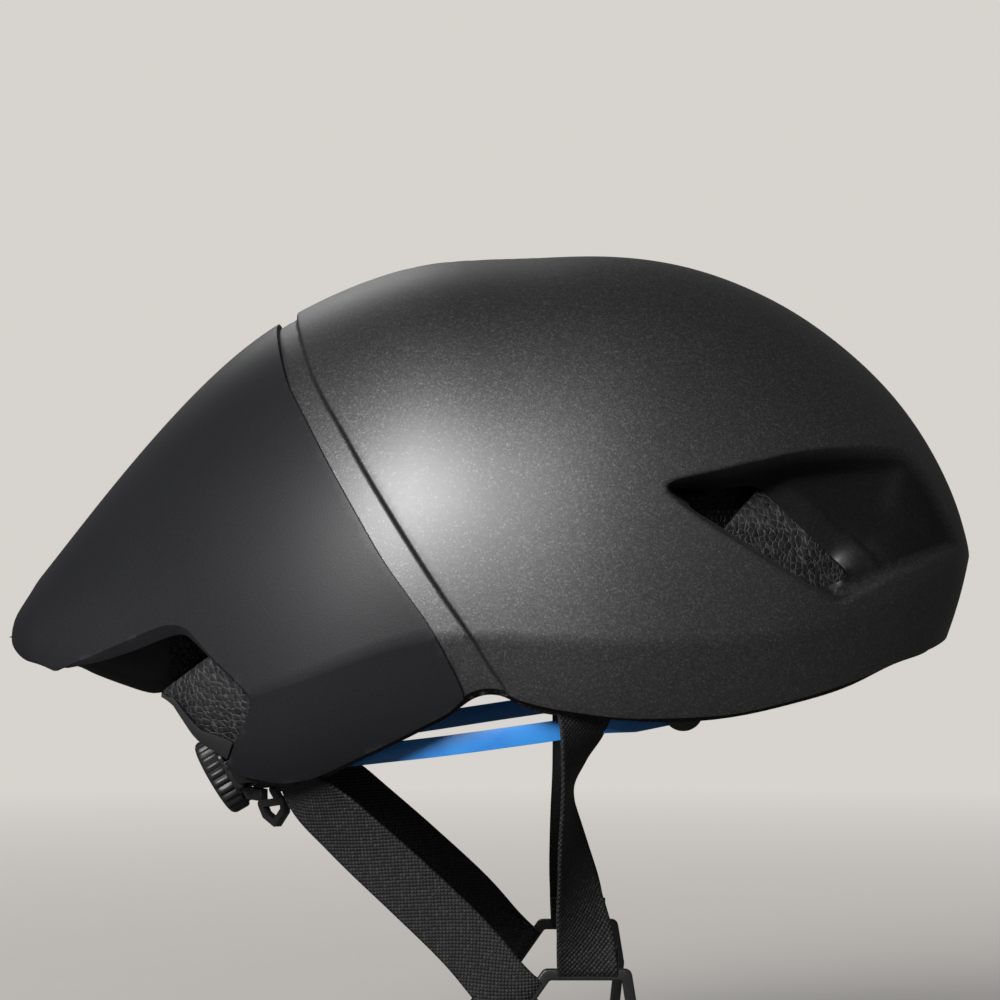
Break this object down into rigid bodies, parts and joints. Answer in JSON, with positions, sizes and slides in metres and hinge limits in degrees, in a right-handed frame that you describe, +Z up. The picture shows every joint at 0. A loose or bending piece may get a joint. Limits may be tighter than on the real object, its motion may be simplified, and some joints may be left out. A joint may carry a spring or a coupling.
{
  "type": "aero time trial helmet",
  "caption": "Smooth teardrop cycling helmet with side intake scoops, a tail with twin exhaust ports, a foam liner, dial fit headband and chin straps.",
  "frame": {"origin": "centre of the head opening, level with the liner's lower edge above the ears", "axes": "+X forward, +Y the wearer's left, +Z up towards the crown"},
  "size_m": [0.3253, 0.2026, 0.2983],
  "materials": {
    "shell_paint": "dark gunmetal metallic paint under a clear coat",
    "tail_plastic": "matte black",
    "trim_plastic": "matte dark grey",
    "liner_foam": "expanded foam with visible beads",
    "pad_fabric": "black brushed knit over foam",
    "fitting_plastic": "semi-gloss black moulding",
    "knob_plastic": "semi-gloss black, ribbed rim",
    "screw_steel": "blackened steel",
    "band_plastic": "flexible blue moulding",
    "webbing": "black woven webbing with a pale fleck",
    "keeper_rubber": "black rubber"
  },
  "bodies": {
    "helmet": {"front_shell": "shell_paint", "tail_fairing": "tail_plastic", "rear_trim": "trim_plastic", "eps_liner": "liner_foam", "brow_pad": "pad_fabric", "crown_pad": "pad_fabric", "tail_clip_top": "fitting_plastic", "height_ladder": "fitting_plastic", "strap_plug_front_right": "fitting_plastic", "strap_plug_front_left": "fitting_plastic", "strap_plug_rear_right": "fitting_plastic", "strap_plug_rear_left": "fitting_plastic", "temple_anchor_right": "fitting_plastic", "temple_anchor_left": "fitting_plastic", "temple_pad_right": "pad_fabric", "temple_pad_left": "pad_fabric", "nape_pad_right": "pad_fabric", "nape_pad_left": "pad_fabric", "tail_clip_right": "fitting_plastic", "tail_clip_left": "fitting_plastic", "front_strap_right": "webbing", "front_strap_left": "webbing", "rear_strap_right": "webbing", "rear_strap_left": "webbing", "strap_divider_right": "fitting_plastic", "strap_divider_left": "fitting_plastic", "chin_strap_right": "webbing", "chin_strap_left": "webbing", "buckle_socket": "fitting_plastic", "buckle_plug": "fitting_plastic", "chin_guard": "pad_fabric", "strap_keeper": "keeper_rubber"},
    "cradle": {"cradle_back": "fitting_plastic", "cradle_cover": "fitting_plastic"},
    "dial": {"dial_knob": "knob_plastic", "dial_screw": "screw_steel", "dial_pinion": "knob_plastic"},
    "band_right": {"headband_right": "band_plastic"},
    "band_left": {"headband_left": "band_plastic"},
    "prong_front": {"buckle_prong_front": "fitting_plastic"},
    "prong_rear": {"buckle_prong_rear": "fitting_plastic"}
  },
  "joints": [
    {"name": "cradle_tilt", "type": "hinge", "parent": "helmet", "child": "cradle", "pos_m": [0.04504, 0, 0.0005], "axis": [0, 1, 0], "range_deg": [-2.3, 2.3]},
    {"name": "dial_turn", "type": "hinge", "parent": "cradle", "child": "dial", "pos_m": [-0.10822, 0, -0.02552], "axis": [-0.8616, 0, -0.5075], "range_deg": [-90, 3]},
    {"name": "band_right_slide", "type": "slide", "parent": "cradle", "child": "band_right", "axis": [0, 1, 0], "range_m": [-0.00016, 0.0047]},
    {"name": "band_left_slide", "type": "slide", "parent": "cradle", "child": "band_left", "axis": [0, 1, 0], "range_m": [-0.0047, 0.00016]},
    {"name": "prong_front_press", "type": "hinge", "parent": "helmet", "child": "prong_front", "pos_m": [0.04721, -0.004, -0.14399], "axis": [0, 0, 1], "range_deg": [0, 8], "stiffness_Nm_per_rad": 0.03},
    {"name": "prong_rear_press", "type": "hinge", "parent": "helmet", "child": "prong_rear", "pos_m": [0.02881, -0.004, -0.14399], "axis": [0, 0, -1], "range_deg": [0, 8], "stiffness_Nm_per_rad": 0.03}
  ],
  "couplings": [
    {"joint": "dial_turn", "follows": "band_right_slide", "rad_per_m": -333.33},
    {"joint": "band_left_slide", "follows": "band_right_slide", "ratio": -1},
    {"joint": "prong_rear_press", "follows": "prong_front_press", "ratio": 1}
  ]
}
